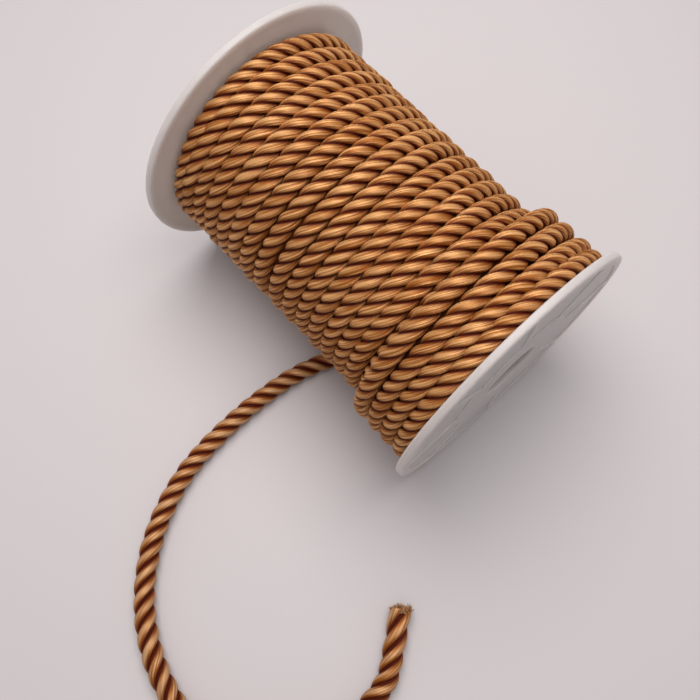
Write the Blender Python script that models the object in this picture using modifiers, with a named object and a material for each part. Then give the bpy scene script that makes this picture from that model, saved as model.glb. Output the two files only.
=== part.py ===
# Twisted cord wound on a spool that lies on its side, with one loose end on the surface.
#
# The origin is under the middle of the spool, on the surface. +X runs along the spool's axis to the
# flange that the second layer of turns lies against, and the loose end leaves on the -Y side.

import math

import bmesh
import bpy
import numpy as np

# Spool
FLANGE_RADIUS = 0.038
FLANGE_THICKNESS = 0.002
FLANGE_GAP = 0.093  # between the flanges' inner faces
EDGE_CHAMFER = 0.0004
FLAT_DEPTH = 0.0003  # both rims are flat this deep where they stand
BARREL_RADIUS = 0.015
BARREL_WALL = 0.002
BORE_RADIUS = 0.008
HUB_RADIUS = 0.019  # smooth disc round the bore
LIP_RADIUS = 0.0353  # the rim is left thick outside this
POCKET_DEPTH = 0.0004
POCKETS = 8
RIB_WIDTH = 0.0012
SPOOL_STEPS = 64

# Cord
CORD_DIAMETER = 0.005
CLEARANCE = 0.0003
TURNS = 19  # that fit between the flanges
LOWER_TURNS = 15  # of these in the lower layer only, from the far flange
LOWER_RADIUS = 0.0316  # over the crests of the lower layer
UPPER_RADIUS = 0.0353  # over the crests of the second layer
JOIN_RADIUS = 0.026  # the second layer's body reaches this deep into the lower layer's
GROOVE_DEPTH = 0.0015
FLANK_DROP = 0.00035  # a quarter turn from the crest
COLUMNS = 48  # round the winding
ROWS_PER_TURN = 4
LEAVE_ANGLE = 25.0  # degrees before the lowest point, where the last turn leaves the winding

# Loose end
LAY = 0.0144  # length of one full twist of the three strands
STEPS_PER_LAY = 9
STRAND_POINTS = 4  # section points on each of the three strands
GROOVE_RATIO = 0.76  # section radius between two strands
END_SWELL = 1.2  # the twist slackens towards the cut end
SWELL_SHARES = (0.2, 0.6)  # shares of the length where the cord starts and ends growing thicker

AXIS_HEIGHT = FLANGE_RADIUS - FLAT_DEPTH
PITCH = (FLANGE_GAP - 2 * CLEARANCE) / TURNS
UPPER_SHIFT = (180.0 + LEAVE_ANGLE) / 360.0  # in turns
LOWER_SHIFT = -0.58
LOWER_LEAN = 1  # the lower layer was wound towards +X, and the second layer back from the flange
UPPER_LEAN = -1

# The loose end's way, in millimetres: out of the last turn, down on to the surface, under the winding
# and out on its -Y side, then one open bend to the cut end.
ROUTE_COLUMNS = ("x", "y", "z")
ROUTE = (
    (26.70, 14.28, 6.28),
    (25.60, 7.60, 3.75),
    (22.90, 1.60, 2.78),
    (19.60, -3.40, 2.62),
    (13.40, -12.60, 2.60),
    (8.30, -21.40, 2.60),
    (4.00, -33.00, 2.61),
    (2.20, -46.40, 2.68),
    (2.10, -59.20, 2.75),
    (4.90, -78.50, 2.85),
    (12.60, -94.70, 2.94),
    (23.50, -106.40, 3.02),
    (37.50, -114.00, 3.09),
    (54.00, -116.50, 3.09),
    (69.50, -110.90, 3.09),
    (79.50, -98.50, 3.09),
    (83.20, -86.50, 3.09),
    (83.30, -78.80, 3.09),
    (81.97, -72.42, 3.09),
    (77.59, -65.56, 3.09),
    (71.64, -57.48, 3.09),
)


def add_material(name, color, roughness, metallic=0.0):
    material = bpy.data.materials.new(name)
    material.use_nodes = True
    shader = material.node_tree.nodes["Principled BSDF"]
    shader.inputs["Base Color"].default_value = (*color, 1.0)
    shader.inputs["Roughness"].default_value = roughness
    shader.inputs["Metallic"].default_value = metallic
    return material


def add_object(name, data, collection, material=None):
    obj = bpy.data.objects.new(name, data)
    collection.objects.link(obj)
    if material:
        data.materials.append(material)
    return obj


def make_guide(obj):
    """Marks a cutter or a section outline, which isn't part of the object."""
    obj.hide_render = True
    obj.display_type = "WIRE"


def turned(name, profile, steps, collection, material=None):
    """A closed outline of (radius, height) pairs turned round local Z."""
    mesh = bpy.data.meshes.new(name)
    points = [(radius, 0.0, height) for radius, height in profile]
    edges = [(i, (i + 1) % len(points)) for i in range(len(points))]
    mesh.from_pydata(points, edges, [])
    obj = add_object(name, mesh, collection, material)
    screw = obj.modifiers.new("turn", "SCREW")
    screw.steps = steps
    screw.render_steps = steps
    screw.use_merge_vertices = True
    screw.merge_threshold = 0.00001
    return obj


def subtract(obj, cutter, name, operation="DIFFERENCE"):
    cut = obj.modifiers.new(name, "BOOLEAN")
    cut.operation = operation
    cut.solver = "EXACT"
    cut.object = cutter


def spool_profile():
    """Half section of the spool: outer side from the near flange down, then back up the bore."""
    inner = FLANGE_GAP / 2
    outer = inner + FLANGE_THICKNESS
    rim = FLANGE_RADIUS - EDGE_CHAMFER
    hollow = BARREL_RADIUS - BARREL_WALL
    flange = [
        (BORE_RADIUS, outer),
        (rim, outer),
        (FLANGE_RADIUS, outer - EDGE_CHAMFER),
        (FLANGE_RADIUS, inner + EDGE_CHAMFER),
        (rim, inner),
        (BARREL_RADIUS, inner),
    ]
    mirrored = [(radius, -height) for radius, height in reversed(flange)]
    bore = [
        (BORE_RADIUS, -inner),
        (hollow, -inner),
        (hollow, inner),
        (BORE_RADIUS, inner),
    ]
    return flange + mirrored + bore


def pocket_outline():
    """One shallow field of a flange's outer face, between two ribs, the rim's lip and the hub disc."""
    half_sector = math.pi / POCKETS
    points = []
    for radius, direction, count in ((LIP_RADIUS, 1, 7), (HUB_RADIUS, -1, 5)):
        half = half_sector - math.asin(RIB_WIDTH / 2 / radius)
        for k in range(count):
            angle = direction * half * (2 * k / (count - 1) - 1)
            points.append((radius * math.cos(angle), radius * math.sin(angle)))
    return points


def pocket_cutter(collection):
    """Sixteen flat prisms, eight on each flange's outer face."""
    face = FLANGE_GAP / 2 + FLANGE_THICKNESS
    bm = bmesh.new()
    outline = pocket_outline()
    for side in (-1, 1):
        low, high = sorted((side * (face - POCKET_DEPTH), side * (face + 0.001)))
        for index in range(POCKETS):
            turn = 2 * math.pi * (index + 0.5) / POCKETS
            cos, sin = math.cos(turn), math.sin(turn)
            ring = [bm.verts.new((x * cos - y * sin, x * sin + y * cos, low)) for x, y in outline]
            base = bm.faces.new(ring)
            lifted = bmesh.ops.extrude_face_region(bm, geom=[base])["geom"]
            raised = [item for item in lifted if isinstance(item, bmesh.types.BMVert)]
            bmesh.ops.translate(bm, vec=(0.0, 0.0, high - low), verts=raised)
    bmesh.ops.recalc_face_normals(bm, faces=bm.faces)
    mesh = bpy.data.meshes.new("pocket_cutter")
    bm.to_mesh(mesh)
    bm.free()
    cutter = add_object("pocket_cutter", mesh, collection)
    make_guide(cutter)
    return cutter


def floor_cutter(collection):
    """A block under the surface, which leaves the small flats that the rims stand on."""
    bm = bmesh.new()
    bmesh.ops.create_cube(bm, size=1.0)
    bmesh.ops.scale(bm, vec=(0.2, 0.1, 0.02), verts=bm.verts)
    bmesh.ops.translate(bm, vec=(0.0, 0.0, -0.01), verts=bm.verts)
    mesh = bpy.data.meshes.new("floor_cutter")
    bm.to_mesh(mesh)
    bm.free()
    cutter = add_object("floor_cutter", mesh, collection)
    make_guide(cutter)
    return cutter


def turn_to_axis(obj):
    """Lays an object that was turned round Z along the spool's axis."""
    obj.rotation_euler = (0.0, math.pi / 2, 0.0)
    obj.location = (0.0, 0.0, AXIS_HEIGHT)


def ridge_radius(row, crest):
    """Distance from the axis on a turn: groove, flank, crest, flank for the four rows of each turn."""
    drop = (GROOVE_DEPTH, FLANK_DROP, 0.0, FLANK_DROP)[row % ROWS_PER_TURN]
    return crest - drop


def ridge_rows(first_turn, last_turn, crest):
    """(turn number, radius) of each row of points across one layer of turns."""
    rows = range(first_turn * ROWS_PER_TURN, last_turn * ROWS_PER_TURN + 1)
    return [(row / ROWS_PER_TURN, ridge_radius(row, crest)) for row in rows]


def ridged_sheet(bm, rows, shift, lean):
    """A sheet round the axis whose rows of points follow the turns like a thread.

    Column 0 and the last column lie on the same line, where the last turn leaves the winding, and
    the sheet has moved on by one turn there, along X for a lean of 1 and back for a lean of -1.
    """
    start = CLEARANCE - FLANGE_GAP / 2
    first_angle = -math.radians(LEAVE_ANGLE)
    grid = []
    for column in range(COLUMNS + 1):
        part = column / COLUMNS
        angle = first_angle + 2 * math.pi * part
        line = []
        for turn, radius in rows:
            x = start + PITCH * (turn + shift + lean * part)
            y = -radius * math.sin(angle)
            z = -radius * math.cos(angle)
            line.append(bm.verts.new((x, y, z)))
        grid.append(line)
    for left, right in zip(grid, grid[1:]):
        for row in range(len(rows) - 1):
            bm.faces.new((left[row], left[row + 1], right[row + 1], right[row]))
    return grid


def closed_body(bm, name, left_x, right_x, collection):
    """Joins the sheet's two edges and fans each open end to a point on the axis."""
    bmesh.ops.remove_doubles(bm, verts=bm.verts, dist=0.000002)
    open_edges = [edge for edge in bm.edges if edge.is_boundary]
    for apex_x, other_x in ((left_x, right_x), (right_x, left_x)):
        apex = bm.verts.new((apex_x, 0.0, 0.0))
        for edge in open_edges:
            x = edge.verts[0].co.x
            if abs(x - apex_x) < abs(x - other_x):
                bm.faces.new((*edge.verts, apex))
    bmesh.ops.recalc_face_normals(bm, faces=bm.faces)
    mesh = bpy.data.meshes.new(name)
    bm.to_mesh(mesh)
    bm.free()
    mesh.shade_smooth()
    body = add_object(name, mesh, collection)
    body.location = (0.0, 0.0, AXIS_HEIGHT)
    return body


def lower_layer(collection):
    """A ridged bar from flange to flange. The second layer hides its last turns."""
    bm = bmesh.new()
    ridged_sheet(bm, ridge_rows(-1, TURNS + 1, LOWER_RADIUS), LOWER_SHIFT, LOWER_LEAN)
    past_flange = FLANGE_GAP / 2 + 3 * PITCH
    return closed_body(bm, "winding", -past_flange, past_flange, collection)


def second_layer(collection):
    """The turns that lie on the lower layer, with a flat end face where the last one leaves."""
    bm = bmesh.new()
    outer = ridge_rows(LOWER_TURNS, TURNS + 1, UPPER_RADIUS)
    rows = [(LOWER_TURNS, JOIN_RADIUS)] + outer
    grid = ridged_sheet(bm, rows, UPPER_SHIFT, UPPER_LEAN)
    arch = grid[COLUMNS][: ROWS_PER_TURN + 2]
    bm.faces.new(arch + [grid[0][0]])
    start = CLEARANCE - FLANGE_GAP / 2 + PITCH * (LOWER_TURNS + UPPER_SHIFT)
    past_flange = FLANGE_GAP / 2 + 3 * PITCH
    layer = closed_body(bm, "second_layer", start, past_flange, collection)
    make_guide(layer)
    return layer


def smooth_route(spacing):
    """Points at an even spacing on one smooth curve through ROUTE, in metres."""
    knots = np.array(ROUTE) / 1000.0
    chord = np.linalg.norm(np.diff(knots, axis=0), axis=1)
    at = np.concatenate(([0.0], np.cumsum(chord)))
    slope = np.gradient(knots, at, axis=0)
    fine = np.linspace(0.0, at[-1], 2001)
    index = np.clip(np.searchsorted(at, fine, side="right") - 1, 0, len(at) - 2)
    width = chord[index]
    t = ((fine - at[index]) / width)[:, None]
    width = width[:, None]
    curve = (
        (2 * t**3 - 3 * t**2 + 1) * knots[index]
        + (t**3 - 2 * t**2 + t) * width * slope[index]
        + (3 * t**2 - 2 * t**3) * knots[index + 1]
        + (t**3 - t**2) * width * slope[index + 1]
    )
    length = np.concatenate(([0.0], np.cumsum(np.linalg.norm(np.diff(curve, axis=0), axis=1))))
    count = int(round(length[-1] / spacing)) + 1
    even = np.linspace(0.0, length[-1], count)
    points = np.stack([np.interp(even, length, curve[:, axis]) for axis in range(3)], axis=1)
    return points, even


def strand_section(collection):
    """The cord's section: three rounded strands, drawn once and swept along the route."""
    count = 3 * STRAND_POINTS
    curve = bpy.data.curves.new("strand_section", "CURVE")
    curve.dimensions = "2D"
    spline = curve.splines.new("POLY")
    spline.points.add(count - 1)
    middle = (1 + GROOVE_RATIO) / 2
    swing = (1 - GROOVE_RATIO) / 2
    for index, point in enumerate(spline.points):
        angle = -2 * math.pi * index / count
        radius = CORD_DIAMETER / 2 * (middle + swing * math.cos(3 * angle))
        point.co = (radius * math.cos(angle), radius * math.sin(angle), 0.0, 1.0)
    spline.use_cyclic_u = True
    section = add_object("strand_section", curve, collection)
    make_guide(section)
    return section


def loose_end(section, collection, material):
    """The free length of cord: the three-strand section swept along the route and twisted."""
    points, along = smooth_route(LAY / STEPS_PER_LAY)
    curve = bpy.data.curves.new("loose_end", "CURVE")
    curve.dimensions = "3D"
    curve.twist_mode = "MINIMUM"
    curve.bevel_mode = "OBJECT"
    curve.bevel_object = section
    curve.use_fill_caps = True
    spline = curve.splines.new("POLY")
    spline.points.add(len(points) - 1)
    for point, place, distance in zip(spline.points, points, along):
        point.co = (*place, 1.0)
        point.tilt = 2 * math.pi * distance / LAY
        point.radius = np.interp(distance / along[-1], SWELL_SHARES, (1.0, END_SWELL))
    spline.use_smooth = True
    return add_object("loose_end", curve, collection, material)


def main():
    for obj in list(bpy.data.objects):
        bpy.data.objects.remove(obj, do_unlink=True)
    scene = bpy.context.scene
    parts = bpy.data.collections.new("braided_cord_on_spool")
    guides = bpy.data.collections.new("cutters")
    scene.collection.children.link(parts)
    scene.collection.children.link(guides)

    plastic = add_material("white_plastic", (0.72, 0.70, 0.68), 0.42)
    cord = add_material("golden_brown_cord", (0.46, 0.22, 0.075), 0.45)

    spool = turned("spool", spool_profile(), SPOOL_STEPS, parts, plastic)
    turn_to_axis(spool)
    pockets = pocket_cutter(guides)
    turn_to_axis(pockets)
    subtract(spool, pockets, "pockets")
    subtract(spool, floor_cutter(guides), "flats")

    winding = lower_layer(parts)
    winding.data.materials.append(cord)
    subtract(winding, second_layer(guides), "second_layer", "UNION")
    end = FLANGE_GAP / 2 - CLEARANCE
    bore = BARREL_RADIUS + CLEARANCE
    limit = turned("winding_limit", [(0.05, end), (0.05, -end), (bore, -end), (bore, end)], 48, guides)
    turn_to_axis(limit)
    make_guide(limit)
    subtract(winding, limit, "between_flanges", "INTERSECT")

    loose_end(strand_section(guides), parts, cord)


main()
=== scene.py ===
# %% [markdown]
# # A twisted satin cord on its spool
#
# A trimming cord is three strands of shiny thread laid round each other. Here it is wound on a white
# plastic spool that lies on its side, and the last few hundred millimetres curve out over the table.
# Every length below is in metres, in the frame of the solids: the spool's axis runs along X, the table
# is at Z = 0, and the origin is on the table under the middle of the spool.

# %% Load the frame
import math

import bpy
import numpy as np
from mathutils import Matrix, Vector


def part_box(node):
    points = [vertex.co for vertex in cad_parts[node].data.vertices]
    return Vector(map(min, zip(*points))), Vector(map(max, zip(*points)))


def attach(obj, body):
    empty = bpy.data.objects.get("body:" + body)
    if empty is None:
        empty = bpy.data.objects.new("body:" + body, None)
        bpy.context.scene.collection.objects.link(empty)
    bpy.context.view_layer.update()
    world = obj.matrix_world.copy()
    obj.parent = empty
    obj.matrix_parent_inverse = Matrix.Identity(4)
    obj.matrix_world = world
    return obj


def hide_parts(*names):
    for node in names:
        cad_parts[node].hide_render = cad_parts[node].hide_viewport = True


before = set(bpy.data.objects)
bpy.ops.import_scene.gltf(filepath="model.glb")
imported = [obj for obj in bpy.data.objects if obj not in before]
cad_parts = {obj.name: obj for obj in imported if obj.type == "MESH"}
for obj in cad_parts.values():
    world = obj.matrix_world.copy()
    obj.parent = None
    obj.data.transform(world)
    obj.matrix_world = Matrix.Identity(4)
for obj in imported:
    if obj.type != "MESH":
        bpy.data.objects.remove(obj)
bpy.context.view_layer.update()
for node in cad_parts:
    low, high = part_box(node)
    print(node, "from", np.round(low, 4), "to", np.round(high, 4))


def add_object(name, data):
    """An object for a mesh, a camera or a lamp, linked into the scene."""
    obj = bpy.data.objects.new(name, data)
    bpy.context.scene.collection.objects.link(obj)
    return obj


def mesh_object(name, points, faces):
    """A smooth mesh from whole arrays of points and faces."""
    mesh = bpy.data.meshes.new(name)
    mesh.from_pydata(points, [], faces)
    mesh.shade_smooth()
    return add_object(name, mesh)

# %% [markdown]
# ## Camera
#
# The picture is taken from above, a little to one side, by a camera about 22 cm away. That short
# distance is what makes the near flange so much larger than the far one, so the distance counts for
# more than the lens. Both come from a fit to the outlines of the two flanges and the winding.

# %% Place the camera
PICTURE_PIXELS = 700
FOCAL_PIXELS = 859.1
SENSOR = 36.0
CAMERA_AZIMUTH = math.radians(47.407)
CAMERA_ELEVATION = math.radians(71.471)
CAMERA_TARGET = (0.01739, -0.02596, 0.03770)
CAMERA_DISTANCE = 0.21588
NEAREST_SEEN = 0.01


def looking_matrix(place, back):
    """A matrix at place whose own Z runs along back, with its own X level."""
    back = Vector(back).normalized()
    right = Vector((0.0, 0.0, 1.0)).cross(back).normalized()
    up = back.cross(right)
    turn = Matrix((right, up, back)).transposed().to_4x4()
    return Matrix.Translation(place) @ turn


camera_back = Vector(
    (
        math.sin(CAMERA_AZIMUTH) * math.cos(CAMERA_ELEVATION),
        -math.cos(CAMERA_AZIMUTH) * math.cos(CAMERA_ELEVATION),
        math.sin(CAMERA_ELEVATION),
    )
)
camera_data = bpy.data.cameras.new("camera")
camera_data.sensor_width = SENSOR
camera_data.lens = SENSOR * FOCAL_PIXELS / PICTURE_PIXELS
camera_data.clip_start = NEAREST_SEEN
camera = add_object("camera", camera_data)
camera.matrix_world = looking_matrix(Vector(CAMERA_TARGET) + CAMERA_DISTANCE * camera_back, camera_back)
bpy.context.scene.camera = camera
print("lens", round(camera_data.lens, 2), "mm, camera at", np.round(camera.matrix_world.translation, 4))

# %% [markdown]
# ## The cord's section
#
# Cut a three-strand cord across and each strand shows as an oval, pressed against the other two. Three
# separate tubes would hide half their faces inside each other, so the cord is one surface instead: its
# outline is the outer edge of the three ovals together, which leaves a sharp groove between strands.

# %% Section of three strands
CORD_RADIUS = 0.0025
STRAND_OFFSET = 0.53  # all three as shares of the cord's radius
STRAND_DEPTH = 0.47
STRAND_WIDTH = 0.58
GROOVE_CROWDING = 0.5  # 0 spaces the points evenly, 1 draws them all towards the grooves


def strand_section(points_per_strand):
    """Angles and radii of the outline round three strands, for a cord of radius 1.

    Each strand is an ellipse whose middle lies STRAND_OFFSET from the cord's middle. A ray that leaves
    the cord's middle at an angle from the strand's crest meets the ellipse where
    ((r cos a - offset) / depth)^2 + (r sin a / width)^2 = 1, and r is the larger root.
    """
    step = np.arange(points_per_strand) / points_per_strand * 2 - 1
    spread = (1 - GROOVE_CROWDING) * step + GROOVE_CROWDING * np.sin(math.pi / 2 * step)
    off_crest = math.pi / 3 * spread
    cos, sin = np.cos(off_crest), np.sin(off_crest)
    a = (cos / STRAND_DEPTH) ** 2 + (sin / STRAND_WIDTH) ** 2
    b = -2 * STRAND_OFFSET * cos / STRAND_DEPTH**2
    c = (STRAND_OFFSET / STRAND_DEPTH) ** 2 - 1
    radius = (-b + np.sqrt(b * b - 4 * a * c)) / (2 * a)
    angle = (off_crest[None, :] + 2 * math.pi / 3 * np.arange(3)[:, None]).ravel()
    return angle, np.tile(radius, 3)


_, section_radius = strand_section(10)
print("groove to crest:", round(section_radius.min() / section_radius.max(), 3))

# %% [markdown]
# ## Carrying the section along a line
#
# The cord's line is a row of points. At each one the section stands square to the line and has turned
# a little further than at the last, one full turn for each lay length. The same function makes the
# wound turns and the loose end. It also stores two things for the material: a UV map, with the distance
# along the cord in one direction and the place round the strands in the other, and how far down in a
# groove each point lies, from which the material paints shade into the grooves.

# %% Sweep a section into a closed tube
def smooth_through(knots, at, fine):
    """A smooth curve through knots: cubic pieces whose slope at a knot is that of its neighbours."""
    knots = np.asarray(knots, float).reshape(len(at), -1)
    slope = np.gradient(knots, at, axis=0)
    index = np.clip(np.searchsorted(at, fine, side="right") - 1, 0, len(at) - 2)
    width = (at[index + 1] - at[index])[:, None]
    t = (fine[:, None] - at[index][:, None]) / width
    return (
        (2 * t**3 - 3 * t**2 + 1) * knots[index]
        + (t**3 - 2 * t**2 + t) * width * slope[index]
        + (3 * t**2 - 2 * t**3) * knots[index + 1]
        + (t**3 - t**2) * width * slope[index + 1]
    )


def lengths_along(points):
    """Distance along a row of points, from its first."""
    return np.concatenate(([0.0], np.cumsum(np.linalg.norm(np.diff(points, axis=0), axis=1))))


def resampled(points, count):
    """The same line with its points evenly spaced."""
    along = lengths_along(points)
    even = np.linspace(0.0, along[-1], count)
    return np.stack([np.interp(even, along, points[:, axis]) for axis in range(3)], axis=1)


def unit(vectors):
    return vectors / np.linalg.norm(vectors, axis=1, keepdims=True)


def closed_tube(name, rings, uv_u, uv_v, depth):
    """A mesh from rings of points, joined ring to ring, with a flat cap at both ends.

    rings is an array of rings x points x 3. uv_u has one value a ring, uv_v one a point of the ring and
    one more for where the ring closes, and depth one a point of the ring.
    """
    count, around = rings.shape[:2]
    i, j = np.meshgrid(np.arange(count - 1), np.arange(around), indexing="ij")
    i, j = i.ravel(), j.ravel()
    k = (j + 1) % around
    quads = np.stack([i * around + j, i * around + k, (i + 1) * around + k, (i + 1) * around + j], axis=1)
    middles = count * around + np.arange(2)
    j, k = np.arange(around), (np.arange(around) + 1) % around
    first = np.stack([np.full(around, middles[0]), k, j], axis=1)
    last_ring = (count - 1) * around
    last = np.stack([np.full(around, middles[1]), last_ring + j, last_ring + k], axis=1)
    points = np.concatenate([rings.reshape(-1, 3), rings[0].mean(0)[None], rings[-1].mean(0)[None]])
    obj = mesh_object(name, points.tolist(), [*quads.tolist(), *first.tolist(), *last.tolist()])

    ring_of = np.arange(count - 1).repeat(around)
    low_u, high_u = uv_u[ring_of], uv_u[ring_of + 1]
    low_v, high_v = np.tile(uv_v[:-1], count - 1), np.tile(uv_v[1:], count - 1)
    corners = np.stack([low_u, low_v, low_u, high_v, high_u, high_v, high_u, low_v], axis=1)
    caps = np.zeros((2 * around * 3, 2))
    caps[: around * 3, 0] = uv_u[0]
    caps[around * 3 :, 0] = uv_u[-1]
    layer = obj.data.uv_layers.new(name="thread")
    layer.uv.foreach_set("vector", np.concatenate([corners.ravel(), caps.ravel()]).astype(np.float32))
    groove = obj.data.attributes.new("groove", "FLOAT", "POINT")
    depths = np.concatenate([np.tile(depth, count), [1.0, 1.0]])
    groove.data.foreach_set("value", depths.astype(np.float32))
    return obj


WAVES = 6  # summed for each irregular value
LAY_WAVES = (14, 60)  # how many to a metre
LAY_CHANGE = 0.05
PLUMP_WAVES = (20, 90)
PLUMP_CHANGE = 0.03


def laid_cord(name, points, outward, lay, per_strand, turn_at_start=0.0, swell=None, seed=1):
    """A three-strand cord along points, with its strands turned right-handed once in each lay length.

    A section point at angle a and radius r goes to P + R r (cos(a + t) N + sin(a + t) B), where P is the
    line, N its outward direction made square to it, B = T x N, and t the twist so far, 2 pi s / lay. The
    radius R swells and thins by a few percent along the cord, as a soft cord's does.
    """
    rng = np.random.default_rng(seed)
    along = lengths_along(points)
    tangent = unit(np.gradient(points, axis=0))
    normal = unit(outward - (outward * tangent).sum(1, keepdims=True) * tangent)
    side = np.cross(tangent, normal)
    angle, radius = strand_section(per_strand)

    waves, phases = rng.uniform(*LAY_WAVES, WAVES), rng.uniform(0, 2 * math.pi, WAVES)
    ripple = np.sin(along[:, None] * waves * 2 * math.pi + phases).mean(1)
    uneven_lay = lay * (1 + LAY_CHANGE * ripple)
    twist = turn_at_start + 2 * math.pi * np.cumsum(np.gradient(along) / uneven_lay)
    waves, phases = rng.uniform(*PLUMP_WAVES, (WAVES, 3)), rng.uniform(0, 2 * math.pi, (WAVES, 3))
    plump = np.sin(along[:, None, None] * waves * 2 * math.pi + phases).mean(1)
    plump = np.repeat(1 + PLUMP_CHANGE * plump, per_strand, axis=1)
    size = CORD_RADIUS * (np.ones(len(points)) if swell is None else swell)
    reach = size[:, None] * radius[None, :] * plump
    turned = angle[None, :] + twist[:, None]
    rings = points[:, None, :] + reach[..., None] * (
        np.cos(turned)[..., None] * normal[:, None, :] + np.sin(turned)[..., None] * side[:, None, :]
    )
    depth = (radius.max() - radius) / (radius.max() - radius.min())
    start = angle[0]
    around = np.append((angle - start) / (2 * math.pi), 1.0)
    print(name, "is", round(along[-1], 3), "m long, with", 2 * len(points) * len(angle), "triangles")
    return closed_tube(name, rings, along / np.mean(lay), around, depth), twist[-1]


# %% [markdown]
# ## Wound turns
#
# Two layers of the winding show. The lower layer runs from the far flange to the near one, and each
# turn sits against the last. At the near flange the cord climbs on to the first layer and comes back
# for four more turns, leaning the other way. Nobody winds a spool quite evenly, so a table gives the
# place of each turn along the spool at three angles round it, and a smooth curve joins them.

# %% Lines of the two layers
AXIS_HEIGHT = 0.0377
INNER_FACE = 0.0465  # from the middle of the spool to a flange
LOWER_CENTRE = 0.0291  # from the axis to the middle of the cord
UPPER_CENTRE = 0.0328
WOUND_LAY = 0.0125
WALL_CLEARANCE = 0.0001
TABLE_DEGREES = (100.0, 160.0, 220.0)  # past the lowest point, up the -Y side
TURN_COLUMNS = ("x_at_100_mm", "x_at_160_mm", "x_at_220_mm")
LOWER_TURNS = (
    (-44.30, -44.46, -43.06),
    (-40.83, -40.21, -37.54),
    (-36.40, -35.29, -32.46),
    (-31.63, -30.29, -27.56),
    (-26.72, -25.58, -23.00),
    (-22.10, -20.58, -18.50),
    (-17.23, -15.41, -13.94),
    (-11.98, -10.27, -9.36),
    (-6.13, -4.89, -4.84),
    (-0.94, 0.20, -0.13),
    (3.97, 5.21, 5.28),
    (8.84, 9.90, 10.05),
    (13.57, 14.51, 14.59),
    (18.31, 19.24, 19.56),
    (22.66, 23.76, 24.82),
    (27.70, 28.60, 29.50),  # goes on under the second layer
)
UPPER_TURNS = (
    (43.95, 44.00, 44.00),
    (39.40, 39.80, 40.00),
    (34.80, 35.25, 34.65),
    (29.65, 29.95, 29.45),
)
WINDING_END = 335.0  # degrees past the lowest point, where the last turn leaves
LEAVING_POINT = (0.02670, 0.01428, 0.00628)
LEAVING_TURNS = 0.2  # of the last turn, over which the cord comes away from the layer below
UNEVEN_COLUMNS = ("height", "waves", "start")
LOWER_UNEVEN = ((0.00012, 2.3, 0.0), (0.00008, 7.1, 1.0))
UPPER_UNEVEN = ((0.00010, 5.3, 0.0),)
print("columns of the tables:", TURN_COLUMNS, UNEVEN_COLUMNS)


def helix(turn, x, radius):
    """Points round the axis: turn counts full turns from the lowest point, up the -Y side first."""
    angle = 2 * math.pi * turn
    return np.stack([x, -radius * np.sin(angle), AXIS_HEIGHT - radius * np.cos(angle)], axis=1)


def wound_line(turn_places, last_turn, ring_spacing, radius_at, end_x=None):
    """Points and outward directions of a layer, from turn 0 to last_turn.

    Turn k passes an angle of the table at k + angle / 360. Past both ends of the table the line goes on
    with the slope of the nearest two turns, but never nearer to a flange than the cord's radius.
    """
    places = np.array(turn_places) / 1000
    at = (np.arange(len(places))[:, None] + np.array(TABLE_DEGREES) / 360).ravel()
    x = places.ravel()
    at = np.concatenate((at[:3] - 1, at, at[-3:] + 1))
    x = np.concatenate((2 * places[0] - places[1], x, 2 * places[-1] - places[-2]))
    if end_x is not None:
        at, x = np.append(at[:-3], last_turn), np.append(x[:-3], end_x)
    length = 2 * math.pi * radius_at(np.array([1.0]))[0] * last_turn
    turn = np.linspace(0.0, last_turn, int(length / ring_spacing))
    limit = INNER_FACE - CORD_RADIUS - WALL_CLEARANCE
    x = np.clip(smooth_through(x, at, turn)[:, 0], -limit, limit)
    points = helix(turn, x, radius_at(turn))
    outward = points - np.stack([x, np.zeros_like(x), np.full_like(x, AXIS_HEIGHT)], axis=1)
    return points, outward


def unevenness(turn, table):
    """The sum of height sin(waves turn + start) over the table's rows."""
    return sum(height * np.sin(turn * waves + start) for height, waves, start in table)


def lower_radius(turn):
    """The lower layer's radius, a little uneven."""
    return LOWER_CENTRE + unevenness(turn, LOWER_UNEVEN)


leaving_radius = math.hypot(LEAVING_POINT[1], LEAVING_POINT[2] - AXIS_HEIGHT)
lower_end = len(LOWER_TURNS) - 0.1
upper_end = len(UPPER_TURNS) - 1 + WINDING_END / 360


def upper_radius(turn):
    """The second layer's radius, which grows over the last fifth of a turn, as the cord leaves."""
    leave = np.clip((turn - (upper_end - LEAVING_TURNS)) / LEAVING_TURNS, 0.0, 1.0)
    rise = (leaving_radius - UPPER_CENTRE) * leave**2
    return UPPER_CENTRE + rise + unevenness(turn, UPPER_UNEVEN)


RINGS_PER_LAY = 18
ring_spacing = WOUND_LAY / RINGS_PER_LAY
lower_points, lower_outward = wound_line(LOWER_TURNS, lower_end, ring_spacing, lower_radius)
upper_points, upper_outward = wound_line(
    UPPER_TURNS, upper_end, ring_spacing, upper_radius, end_x=LEAVING_POINT[0]
)
lower_length, upper_length = lengths_along(lower_points)[-1], lengths_along(upper_points)[-1]
print("lower layer", round(lower_length, 2), "m, second layer", round(upper_length, 2), "m")

# %% Wound turns
WOUND_POINTS = 10  # of the section on each strand
half = len(lower_points) // 2
lower_far, twist_half = laid_cord(
    "lower_turns_far",
    lower_points[: half + 1],
    lower_outward[: half + 1],
    WOUND_LAY,
    WOUND_POINTS,
    seed=11,
)
lower_near, _ = laid_cord(
    "lower_turns_near",
    lower_points[half:],
    lower_outward[half:],
    WOUND_LAY,
    WOUND_POINTS,
    twist_half,
    seed=12,
)
upper_turns, upper_twist = laid_cord(
    "upper_turns", upper_points, upper_outward, WOUND_LAY, WOUND_POINTS, seed=13
)
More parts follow.
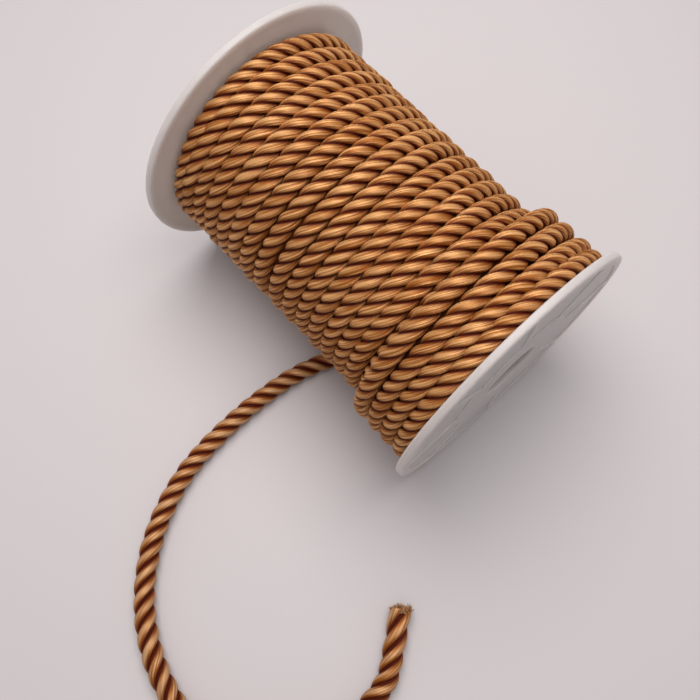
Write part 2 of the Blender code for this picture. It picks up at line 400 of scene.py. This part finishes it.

# %% [markdown]
# ## What lies under the turns
#
# Between two turns you look down on the layers beneath, which are in the dark. They need no strands of
# their own: one turned body with a rounded ridge for each hidden turn closes the gaps, and its colour is
# painted shade, almost black. A turned body is a profile of distances from the axis, carried round in a
# circle.

# %% Hidden layers
def turned_about_axis(name, x, radius, columns):
    """A closed body: the closed profile (x, radius) carried round the spool's axis."""
    angle = 2 * math.pi * np.arange(columns) / columns
    rings = np.stack(
        [
            np.broadcast_to(x[:, None], (len(x), columns)),
            -radius[:, None] * np.sin(angle),
            AXIS_HEIGHT - radius[:, None] * np.cos(angle),
        ],
        axis=2,
    )
    i, j = np.meshgrid(np.arange(len(x)), np.arange(columns), indexing="ij")
    i, j = i.ravel(), j.ravel()
    n, m = (i + 1) % len(x), (j + 1) % columns
    quads = np.stack([i * columns + j, n * columns + j, n * columns + m, i * columns + m], axis=1)
    return mesh_object(name, rings.reshape(-1, 3).tolist(), quads.tolist())


BARREL_RADIUS = 0.015
CORE_LOWER = 0.0284
CORE_UPPER = 0.0312
CORE_STEP_X = 0.0272
CORE_GAP = 0.0004  # to the spool
CORE_RIDGE = 0.0003
CORE_RIDGE_SPACING = 0.00486
CORE_ROWS, CORE_COLUMNS = 240, 96
core_end = INNER_FACE - CORE_GAP
core_x = np.linspace(-core_end, core_end, CORE_ROWS)
ridge = CORE_RIDGE * np.abs(np.cos(core_x / CORE_RIDGE_SPACING * math.pi))
core_outer = np.where(core_x < CORE_STEP_X, CORE_LOWER, CORE_UPPER) + ridge
core_inner = np.full(2, BARREL_RADIUS + CORE_GAP)
hidden_layers = turned_about_axis(
    "hidden_layers",
    np.concatenate([core_x, core_x[[-1, 0]]]),
    np.concatenate([core_outer, core_inner]),
    CORE_COLUMNS,
)
print("hidden layers:", len(hidden_layers.data.polygons), "faces")

# %% [markdown]
# ## The loose end
#
# The free cord is limp. It comes down from the last turn, runs flat under the winding, lies on the
# table in one open bend and comes back to where it was cut. Its line is a short table of points, the
# same as in the solids. The loose cord is twisted less tightly than the wound one, and near the cut it
# slackens and swells.

# %% Route of the loose end
LOOSE_LAY = 0.0144
END_SWELL = 1.2
SWELL_SHARES = (0.2, 0.6)  # shares of the length where the cord starts and ends growing thicker
SLACK_LENGTH = 0.012  # this far from the cut the strands start to untwist
SLACK_AT_CUT = 1.7
LOOSE_RINGS_PER_LAY = 22
LOOSE_POINTS = 12  # of the section on each strand
ROUTE_COLUMNS = ("x", "y", "z")
ROUTE = (
    (0.02670, 0.01428, 0.00628),
    (0.02560, 0.00760, 0.00375),
    (0.02290, 0.00160, 0.00278),
    (0.01960, -0.00340, 0.00262),
    (0.01340, -0.01260, 0.00260),
    (0.00830, -0.02140, 0.00260),
    (0.00400, -0.03300, 0.00261),
    (0.00220, -0.04640, 0.00268),
    (0.00210, -0.05920, 0.00275),
    (0.00490, -0.07850, 0.00285),
    (0.01260, -0.09470, 0.00294),
    (0.02350, -0.10640, 0.00302),
    (0.03750, -0.11400, 0.00309),
    (0.05400, -0.11650, 0.00309),
    (0.06950, -0.11090, 0.00309),
    (0.07950, -0.09850, 0.00309),
    (0.08320, -0.08650, 0.00309),
    (0.08330, -0.07880, 0.00309),
    (0.08197, -0.07242, 0.00309),
    (0.07759, -0.06556, 0.00309),
    (0.07164, -0.05748, 0.00309),
)
print(len(ROUTE), "points of the route, each", ROUTE_COLUMNS)
knots = np.array(ROUTE)
knots_at = lengths_along(knots)
loose_line = smooth_through(knots, knots_at, np.linspace(0.0, knots_at[-1], 2001))
loose_length = lengths_along(loose_line)[-1]
loose_points = resampled(loose_line, int(loose_length / LOOSE_LAY * LOOSE_RINGS_PER_LAY))
share = np.linspace(0.0, 1.0, len(loose_points))
loose_swell = np.interp(share, SWELL_SHARES, (1.0, END_SWELL))
slack = np.interp(loose_length * (1 - share), (0.0, SLACK_LENGTH), (SLACK_AT_CUT, 1.0))
loose_up = np.tile((0.0, 0.0, 1.0), (len(loose_points), 1))
loose_cord, _ = laid_cord(
    "loose_cord",
    loose_points,
    loose_up,
    LOOSE_LAY * slack,
    LOOSE_POINTS,
    upper_twist + math.pi,
    loose_swell,
    seed=14,
)

# %% [markdown]
# ## Shader maths
#
# A material is a graph of small sums. Wrapping an output socket in a class that knows +, - and * lets
# the sums be written as Python expressions, and each expression adds its Math nodes by itself.

# %% Values that vary over a surface
OBJECT_OUTPUT = 3  # of a Texture Coordinate node: the place in the object, in metres


class Value:
    """An output socket that carries a number, with Python's own operators."""

    def __init__(self, tree, socket):
        self.tree = tree
        self.socket = socket

    def math(self, operation, *operands):
        """A Math node on operands, which are Values or plain numbers."""
        node = self.tree.nodes.new("ShaderNodeMath")
        node.operation = operation
        for operand, entry in zip(operands, node.inputs):
            if isinstance(operand, Value):
                self.tree.links.new(operand.socket, entry)
            else:
                entry.default_value = operand
        return Value(self.tree, node.outputs[0])

    def __add__(self, other):
        return self.math("ADD", self, other)

    def __radd__(self, other):
        return self.math("ADD", other, self)

    def __sub__(self, other):
        return self.math("SUBTRACT", self, other)

    def __rsub__(self, other):
        return self.math("SUBTRACT", other, self)

    def __mul__(self, other):
        return self.math("MULTIPLY", self, other)

    def __rmul__(self, other):
        return self.math("MULTIPLY", other, self)

    def clamped(self):
        return self.math("MINIMUM", self.math("MAXIMUM", self, 0.0), 1.0)


class Finish:
    """A material being built: its node tree, its shader, and one way to add any other node."""

    def __init__(self, name, fixed):
        """fixed gives the shader's sockets that are the same all over the surface."""
        self.material = bpy.data.materials.new(name)
        self.material.use_nodes = True
        self.tree = self.material.node_tree
        self.shader = self.tree.nodes["Principled BSDF"]
        for socket, value in fixed.items():
            self.shader.inputs[socket].default_value = value

    def node(self, kind, settings=None, sockets=None, output=0):
        """Adds a node of that type, sets its settings, then its sockets, and returns one output."""
        node = self.tree.nodes.new(kind)
        for key, value in (settings or {}).items():
            setattr(node, key, value)
        by_key = {entry.identifier: entry for entry in node.inputs}
        for key, value in (sockets or {}).items():
            entry = by_key.get(key) or node.inputs[key]
            self.feed(entry, value)
        return Value(self.tree, node.outputs[output])

    def feed(self, entry, value):
        """Links a Value to a socket, or sets the socket to a constant."""
        if isinstance(value, Value):
            self.tree.links.new(value.socket, entry)
        else:
            entry.default_value = value

    def mixed(self, share, first, second):
        """A colour that goes from first to second as share goes from 0 to 1."""
        return self.node(
            "ShaderNodeMix",
            {"data_type": "RGBA"},
            {"Factor_Float": share, "A_Color": first, "B_Color": second},
            output=2,
        )

    def noise(self, vector, scale, detail):
        sockets = {"Vector": vector, "Scale": scale, "Detail": detail, "Roughness": 0.5}
        return self.node("ShaderNodeTexNoise", None, sockets)

    def bump(self, height, distance, strength=1.0):
        """Feeds the shader's normal from a height, where 1 stands distance above 0."""
        sockets = {"Height": height, "Distance": distance, "Strength": strength}
        self.feed(self.shader.inputs["Normal"], self.node("ShaderNodeBump", None, sockets))


# %% [markdown]
# ## Satin thread
#
# Each strand is dozens of fine rayon threads side by side. What makes the cord look like satin is not a
# mirror shine but the way these threads spread the light: a band that runs across them, in the cord's
# own colour. So the material draws the threads as fine lines in the UV map, lets them stand up a
# little, and gives the shader a part of metal, whose gloss takes the base colour. A painted highlight
# makes the tops of the strands paler, and painted shade makes the grooves between them darker.

# %% Satin thread material
THREADS_AROUND = 66.0
BUNDLES_AROUND = 24.0
THREAD_STRETCH = 0.9  # how fast a thread's brightness changes along the cord
BUNDLE_STRETCH = 0.35
THREAD_LEAN = 0.45  # 0 keeps the threads along the strand, 1 along the cord
FINE_CONTRAST = 2.2
COARSE_CONTRAST = 3.2
PATCH_CONTRAST = 0.6
PATCHES_PER_METRE = 55.0
THREAD_HEIGHT = 0.0006
CREST_STEEPNESS = 6.0
GROOVE_START = 0.08  # the painted shade of a groove starts this far down from the crest
# The thread's pale and dark tones; the groove colour is painted shade, and a painted crest highlight
# pulls the tone towards the pale one.
THREAD_LIGHT = (0.790, 0.422, 0.170, 1.0)
# The loose cord's darker pale tone is painted shade.
LOOSE_LIGHT = (0.590, 0.330, 0.160, 1.0)
THREAD_DARK = (0.340, 0.102, 0.011, 1.0)
GROOVE_SHADE_COLOUR = (0.090, 0.006, 0.0002, 1.0)


def satin_thread(name, light, dark, groove_shade_colour, groove_reach, crest_highlight):
    """The cord's material.

    groove_reach is how far the painted shade of the grooves comes up the strands: 1 keeps it low.
    crest_highlight is how much paler a painted highlight makes the top of a strand than its sides.
    """
    finish = Finish(
        name,
        {
            "Metallic": 0.3,
            "Specular IOR Level": 0.4,
            "Specular Tint": (1.0, 0.85, 0.66, 1.0),
        },
    )
    uv = finish.node("ShaderNodeUVMap", {"uv_map": "thread"})
    along = finish.node("ShaderNodeSeparateXYZ", None, {"Vector": uv})
    around = Value(finish.tree, along.socket.node.outputs[1])
    across = around + THREAD_LEAN * along
    lines = finish.node(
        "ShaderNodeCombineXYZ", None, {"X": THREAD_STRETCH * along, "Y": THREADS_AROUND * across}
    )
    bundles = finish.node(
        "ShaderNodeCombineXYZ", None, {"X": BUNDLE_STRETCH * along, "Y": BUNDLES_AROUND * across}
    )
    place = finish.node("ShaderNodeTexCoord", None, None, output=OBJECT_OUTPUT)
    fine = finish.noise(lines, 1.0, 1.0)
    coarse = finish.noise(bundles, 1.0, 2.0)
    patches = finish.noise(place, PATCHES_PER_METRE, 2.0)
    thread = 0.35 * fine + 0.65 * coarse
    streaks = FINE_CONTRAST * (fine - 0.5) + COARSE_CONTRAST * (coarse - 0.5)
    groove = finish.node("ShaderNodeAttribute", {"attribute_name": "groove"}, None, output=2)
    # Painted highlight: the top of each strand is made paler.
    crest = crest_highlight * (0.45 - (CREST_STEEPNESS * groove).clamped())
    tone = (0.46 + streaks + PATCH_CONTRAST * (patches - 0.5) + crest).clamped()
    thread_colour = finish.mixed(tone, dark, light)
    # Painted shade: the colour darkens down into the grooves between the strands.
    shade = (groove_reach * (groove - GROOVE_START)).clamped()
    finish.feed(finish.shader.inputs["Base Color"], finish.mixed(shade, thread_colour, groove_shade_colour))
    finish.feed(finish.shader.inputs["Roughness"], 0.34 + 0.16 * fine + 0.2 * shade)
    finish.bump(thread, THREAD_HEIGHT)
    return finish.material


wound_satin = satin_thread("wound_satin_thread", THREAD_LIGHT, THREAD_DARK, GROOVE_SHADE_COLOUR, 1.9, 0.4)
# The loose cord's copy is a more shaded one: a darker pale tone, painted shade reaching further up its
# strands, and a stronger painted highlight on its crests.
loose_satin = satin_thread("loose_satin_thread", LOOSE_LIGHT, THREAD_DARK, GROOVE_SHADE_COLOUR, 2.5, 0.9)
for piece in (lower_far, lower_near, upper_turns):
    piece.data.materials.append(wound_satin)
loose_cord.data.materials.append(loose_satin)
print("thread material:", len(wound_satin.node_tree.nodes), "nodes")


# %% Shaded thread of the hidden layers
# Painted shade: the hidden turns are the same cord, coloured near black; the grain varies the tone at
# random.
SHADED_DARK = (0.030, 0.006, 0.001, 1.0)
SHADED_LIGHT = (0.10, 0.025, 0.004, 1.0)
GRAIN_SCALE = (1400.0, 300.0, 300.0)
shaded = Finish("shaded_thread", {"Specular IOR Level": 0.05})
place = shaded.node("ShaderNodeTexCoord", None, None, output=OBJECT_OUTPUT)
stretched = shaded.node("ShaderNodeMapping", None, {"Vector": place, "Scale": GRAIN_SCALE})
grain = shaded.noise(stretched, 1.0, 2.0)
shaded.feed(shaded.shader.inputs["Base Color"], shaded.mixed(grain, SHADED_DARK, SHADED_LIGHT))
shaded.feed(shaded.shader.inputs["Roughness"], 0.75 + 0.2 * grain)
shaded.bump(grain, 0.0002)
hidden_layers.data.materials.append(shaded.material)

# %% [markdown]
# ## The cut end
#
# Where the cord was cut, the threads spring apart into a short brush. Each fibre is a thin tapering
# tube: it starts inside a strand, keeps to the cord's direction at first and then bends away from the
# middle, by more the nearer it is to the outside.

# %% Fibres of the cut end
FIBRES = 520
FIBRE_RINGS = 6
FIBRE_SIDES = 4
FIBRE_RADIUS = 0.00009
FIBRE_TAPER = 0.6
FIBRE_ROOT = 0.0012  # how far back from the cut a fibre starts, inside the strand
FIBRE_LENGTHS = (0.0014, 0.0022)
TUFTS = 13  # the fibres lean together in this many tufts
FIBRE_DARK = (0.085, 0.045, 0.030, 1.0)
FIBRE_LIGHT = (0.66, 0.34, 0.14, 1.0)


def brush(name, place, direction, radius, seed):
    """Fibres as P(t) = start + t L (D + t B), with t from 0 to 1.

    L is the fibre's length, D the cord's direction, and B its bend: away from the middle, and a little to
    any side, the same for the fibres of one tuft. The radius tapers towards the tip.
    """
    rng = np.random.default_rng(seed)
    direction = direction / np.linalg.norm(direction)
    up = np.array([0.0, 0.0, 1.0])
    up = unit((up - up @ direction * direction)[None])[0]
    side = np.cross(direction, up)
    spot = radius * 0.9 * np.sqrt(rng.uniform(0, 1, FIBRES))
    angle = rng.uniform(0, 2 * math.pi, FIBRES)
    out = np.cos(angle)[:, None] * up + np.sin(angle)[:, None] * side
    start = place + spot[:, None] * out - direction * FIBRE_ROOT
    tuft = ((angle / (2 * math.pi) * TUFTS).astype(int) + (spot < 0.5 * radius)) % TUFTS
    length = rng.uniform(*FIBRE_LENGTHS, TUFTS)[tuft] * rng.uniform(0.85, 1.15, FIBRES)
    bend = (0.05 + 0.25 * spot / radius)[:, None] * out + rng.normal(0, 0.06, (FIBRES, 3))
    bend += rng.normal(0, 0.18, (TUFTS, 3))[tuft]
    t = np.linspace(0, 1, FIBRE_RINGS)
    middle = start[:, None] + (t[None, :, None] * length[:, None, None]) * (
        direction + t[None, :, None] * bend[:, None]
    )
    middle[..., 2] = np.maximum(middle[..., 2], FIBRE_RADIUS)
    corner = 2 * math.pi * np.arange(FIBRE_SIDES) / FIBRE_SIDES
    ring = np.cos(corner)[:, None] * up + np.sin(corner)[:, None] * side
    width = FIBRE_RADIUS * (1 - FIBRE_TAPER * t)
    points = middle[:, :, None, :] + width[None, :, None, None] * ring[None, None]
    block = FIBRE_RINGS * FIBRE_SIDES
    i, j = np.meshgrid(np.arange(FIBRE_RINGS - 1), np.arange(FIBRE_SIDES), indexing="ij")
    i, j = i.ravel() * FIBRE_SIDES, j.ravel()
    k = (j + 1) % FIBRE_SIDES
    quads = np.stack([i + j, i + k, i + FIBRE_SIDES + k, i + FIBRE_SIDES + j], axis=1)
    ends = np.stack([np.arange(FIBRE_SIDES)[::-1], np.arange(FIBRE_SIDES) + block - FIBRE_SIDES])
    faces = np.concatenate([quads, ends])[None] + block * np.arange(FIBRES)[:, None, None]
    return mesh_object(name, points.reshape(-1, 3).tolist(), faces.reshape(-1, 4).tolist())


cut_direction = loose_points[-1] - loose_points[-6]
cut_radius = CORD_RADIUS * loose_swell[-1]
cut_fibres = brush("cut_end_fibres", loose_points[-1], cut_direction, cut_radius, seed=21)
fibre = Finish("cut_fibre", {"Roughness": 0.6, "Specular IOR Level": 0.2})
fibre_place = fibre.node("ShaderNodeTexCoord", None, None, output=OBJECT_OUTPUT)
fibre_tone = (0.5 + 3.0 * (fibre.noise(fibre_place, 1100.0, 1.0) - 0.5)).clamped()
fibre.feed(fibre.shader.inputs["Base Color"], fibre.mixed(fibre_tone, FIBRE_DARK, FIBRE_LIGHT))
cut_fibres.data.materials.append(fibre.material)
print("cut end:", FIBRES, "fibres")

# %% [markdown]
# ## The spool
#
# The spool is moulded in white plastic: two thin flanges on a barrel with a bore. On the flange's outer
# face eight low ribs run from a smooth disc round the bore to the thicker rim. A grid of rings and
# columns makes the whole body. Its columns follow the edges of the ribs, so that the ribs stay sharp,
# and every edge has a small rounding that catches the light.

# %% Spool
FLANGE_RADIUS = 0.038
FLANGE_THICKNESS = 0.002
BARREL_WALL = 0.002
BORE_RADIUS = 0.008
HUB_RADIUS = 0.019
LIP_RADIUS = 0.0353
POCKET_DEPTH = 0.0004
POCKET_SLOPE = 0.0001
RIB_WIDTH = 0.0012
RIBS = 8
ROUNDING = 0.0005
SHARP_ANGLE = math.radians(35)
COLUMNS_IN_POCKET = 14
ROWS_IN_POCKET = 12
HUB_ROWS = (0.011, 0.015)  # radii of rows of the grid on plain faces
INNER_FACE_ROWS = (0.036, 0.033, 0.029, 0.022)
BARREL_ROWS = (0.02, 0.0, -0.02)  # along X


def rounded(corner, before, after, radius, steps=4):
    """Points of a quarter-round at a corner of the profile, between the directions to its neighbours."""
    corner, before, after = (np.array(point, float) for point in (corner, before, after))
    inward = (before - corner) / np.linalg.norm(before - corner)
    onward = (after - corner) / np.linalg.norm(after - corner)
    t = np.linspace(0, math.pi / 2, steps)[:, None]
    return corner + radius * (inward * (1 - np.sin(t)) + onward * (1 - np.cos(t)))


def flange_profile():
    """(radius, x, pocket) rows from the bore's mouth over the near flange to the barrel."""
    outer, inner = INNER_FACE + FLANGE_THICKNESS, INNER_FACE
    rows = []

    def add(points, pocket=0.0):
        rows.extend((radius, x, pocket) for radius, x in points)

    add(rounded((BORE_RADIUS, outer), (BORE_RADIUS, 0), (FLANGE_RADIUS, outer), ROUNDING))
    hub_edge = (HUB_RADIUS - ROUNDING / 2, HUB_RADIUS)
    add([(radius, outer) for radius in HUB_ROWS + hub_edge])
    field = np.linspace(HUB_RADIUS + POCKET_SLOPE, LIP_RADIUS - POCKET_SLOPE, ROWS_IN_POCKET)
    add([(radius, outer) for radius in field], 1.0)
    add([(LIP_RADIUS, outer), (LIP_RADIUS + ROUNDING / 2, outer)])
    add(rounded((FLANGE_RADIUS, outer), (0, outer), (FLANGE_RADIUS, 0), ROUNDING, 5))
    add(rounded((FLANGE_RADIUS, inner), (FLANGE_RADIUS, outer), (0, inner), ROUNDING, 5))
    add([(radius, inner) for radius in INNER_FACE_ROWS])
    add(rounded((BARREL_RADIUS, inner), (FLANGE_RADIUS, inner), (BARREL_RADIUS, 0), ROUNDING))
    return np.array(rows)


def rib_columns(radius):
    """Angles of the columns at each radius, and whether each column lies in a pocket.

    A rib keeps its width, so its edge lies at asin(w / 2r) from its middle line.
    """
    half_sector = math.pi / RIBS
    flat = np.array([-1.0, 0.0, 1.0])
    edge = np.arcsin(np.clip(RIB_WIDTH / 2 / radius, 0, 0.3))
    foot = np.arcsin(np.clip((RIB_WIDTH / 2 + POCKET_SLOPE) / radius, 0, 0.35))
    inside = np.linspace(0, 1, COLUMNS_IN_POCKET)
    rib = edge[:, None] * flat
    field = foot[:, None] + (2 * half_sector - 2 * foot[:, None]) * inside
    sector = np.concatenate([rib, field], axis=1)
    turn = 2 * half_sector * np.arange(RIBS)
    angles = (sector[:, None, :] + turn[None, :, None]).reshape(len(radius), -1)
    pocket = np.tile(np.concatenate([np.zeros(3), np.ones(COLUMNS_IN_POCKET)]), RIBS)
    return angles, pocket


near = flange_profile()
far = near[::-1] * (1, -1, 1)
middle = np.array([(BARREL_RADIUS, x, 0.0) for x in BARREL_ROWS])
bore = np.array(
    [
        (BORE_RADIUS, -INNER_FACE, 0),
        (BARREL_RADIUS - BARREL_WALL, -INNER_FACE, 0),
        (BARREL_RADIUS - BARREL_WALL, INNER_FACE, 0),
        (BORE_RADIUS, INNER_FACE, 0),
    ]
)
profile = np.concatenate([near, middle, far, bore])
spool_angles, in_pocket = rib_columns(profile[:, 0])
columns = spool_angles.shape[1]
spool_x = np.repeat(profile[:, 1][:, None], columns, axis=1)
spool_x -= np.sign(spool_x) * POCKET_DEPTH * profile[:, 2][:, None] * in_pocket[None, :]
spool_points = np.stack(
    [
        spool_x,
        -profile[:, 0][:, None] * np.sin(spool_angles),
        np.maximum(AXIS_HEIGHT - profile[:, 0][:, None] * np.cos(spool_angles), 0.0),
    ],
    axis=2,
)
rows, turns = np.meshgrid(np.arange(len(profile)), np.arange(columns), indexing="ij")
rows, turns = rows.ravel(), turns.ravel()
next_row, next_turn = (rows + 1) % len(profile), (turns + 1) % columns
spool_faces = np.stack(
    [
        rows * columns + turns,
        rows * columns + next_turn,
        next_row * columns + next_turn,
        next_row * columns + turns,
    ],
    axis=1,
)
moulded_spool = mesh_object("moulded_spool", spool_points.reshape(-1, 3).tolist(), spool_faces.tolist())
moulded_spool.data.set_sharp_from_angle(angle=SHARP_ANGLE)
print("spool:", len(spool_faces), "faces in", columns, "columns")

# %% White plastic
PLASTIC_DARK = (0.490, 0.455, 0.440, 1.0)
PLASTIC_LIGHT = (0.540, 0.505, 0.490, 1.0)
plastic = Finish(
    "moulded_plastic",
    {
        "Specular IOR Level": 0.45,
        "Subsurface Weight": 0.9,
        "Subsurface Radius": (1.0, 0.92, 0.85),
        "Subsurface Scale": 0.006,
    },
)
plastic_place = plastic.node("ShaderNodeTexCoord", None, None, output=OBJECT_OUTPUT)
cloudy = plastic.noise(plastic_place, 30.0, 3.0)
pebble = plastic.noise(plastic_place, 1800.0, 1.0)
plastic.feed(plastic.shader.inputs["Base Color"], plastic.mixed(cloudy, PLASTIC_DARK, PLASTIC_LIGHT))
plastic.feed(plastic.shader.inputs["Roughness"], 0.34 + 0.16 * cloudy)
plastic.bump(pebble, 0.00003, 0.5)
moulded_spool.data.materials.append(plastic.material)
print("plastic material:", len(plastic.tree.nodes), "nodes")

# %% [markdown]
# ## Table and light
#
# The table is plain and pale, and most of the light comes from above. A near disc of light over the
# spool makes the gloss along the strands and the darker, soft shadow under the far side. A wide, even
# light from above and a weak sky fill the shadows. The wider a lamp, the softer its shadow's edge. The
# colours are shown plainly, without a film look, so that a pale table stays pale.

# %% Table, lamps and sky
TABLE_REACH = 3.0
TABLE_COLOUR = (0.570, 0.532, 0.535, 1.0)
WINDOW_PLACE = Vector((-0.07, 0.05, 0.42))
WINDOW_AIM = Vector((0.0, 0.0, 0.03))
SKY_COLOUR = (0.95, 0.93, 0.94, 1.0)
SKY_STRENGTH = 0.40

table_corners = [(x * TABLE_REACH, y * TABLE_REACH, 0.0) for x, y in ((-1, -1), (1, -1), (1, 1), (-1, 1))]
table = mesh_object("table", table_corners, [(0, 1, 2, 3)])
table_finish = Finish("pale_table", {"Base Color": TABLE_COLOUR, "Roughness": 0.6})
table.data.materials.append(table_finish.material)


def add_lamp(name, kind, strength, colour):
    """A lamp that shines straight down until it is turned."""
    data = bpy.data.lights.new(name, kind)
    data.energy = strength
    data.color = colour
    return add_object(name, data)


window = add_lamp("window", "AREA", 1.68, (1.0, 0.97, 0.965))
window.data.shape = "DISK"
window.data.size = 0.40
window.matrix_world = looking_matrix(WINDOW_PLACE, WINDOW_PLACE - WINDOW_AIM)
ceiling = add_lamp("ceiling", "SUN", 0.33, (1.0, 0.98, 0.98))
ceiling.data.angle = math.radians(64)

sky = bpy.data.worlds.new("sky")
sky.use_nodes = True
sky_light = sky.node_tree.nodes["Background"]
sky_light.inputs["Color"].default_value = SKY_COLOUR
sky_light.inputs["Strength"].default_value = SKY_STRENGTH
bpy.context.scene.world = sky
bpy.context.scene.view_settings.view_transform = "Standard"
print("lamps:", window.name, "and", ceiling.name)

# %% [markdown]
# ## What each piece stands for
#
# The frame keeps one solid each for the spool, the winding and the loose end. The pieces made here
# stand for them and ride on the part's one body.

# %% Tie the pieces to the frame
for piece in (lower_far, lower_near, upper_turns, hidden_layers, loose_cord, cut_fibres, moulded_spool):
    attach(piece, "root")
for piece in (lower_far, lower_near, upper_turns, hidden_layers):
    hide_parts("winding")
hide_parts("loose_end")
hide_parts("loose_end")
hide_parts("spool")
